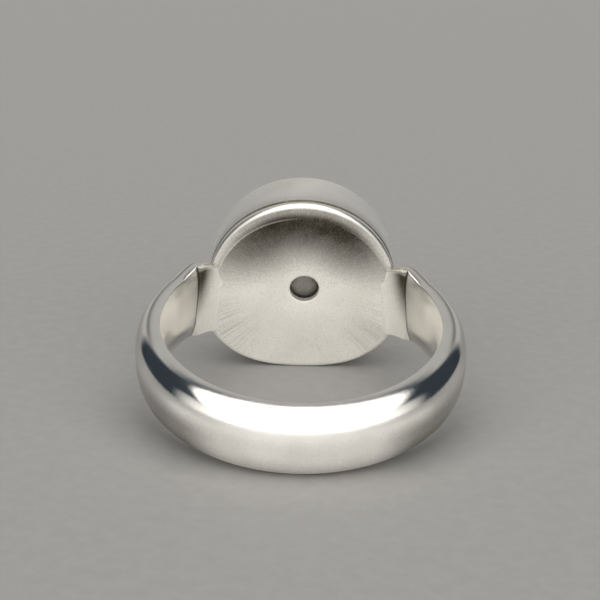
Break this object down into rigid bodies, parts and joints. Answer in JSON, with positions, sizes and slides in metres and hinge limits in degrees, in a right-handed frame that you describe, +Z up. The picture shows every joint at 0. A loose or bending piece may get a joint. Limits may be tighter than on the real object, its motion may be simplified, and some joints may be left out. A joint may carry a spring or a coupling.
{
  "type": "signet ring",
  "caption": "Silver signet ring: domed comfort-fit band flaring into a shallow round head with a flat bordered seal face and a vented back plate, lying on its side.",
  "frame": {"origin": "middle of the resting footprint, on the table", "axes": "+Z up, +Y from the palm side of the band towards the seal, +X across the head; the finger axis leans back from +Z by the tilt at which the head's edge and the palm side both touch the table"},
  "size_m": [0.0236, 0.0272, 0.015],
  "materials": {
    "polished_silver": "polished sterling silver, worn with fine scratches",
    "satin_silver": "satin sterling silver with fine scratches",
    "silver_solder": "silver solder, filed flush"
  },
  "bodies": {
    "root": {"shank": "polished_silver", "shank_solder_left": "silver_solder", "shank_solder_right": "silver_solder", "back_plate": "satin_silver", "back_plate_solder": "silver_solder", "head_wall": "satin_silver", "seal_plate": "polished_silver", "seal_plate_solder": "silver_solder"}
  },
  "joints": []
}
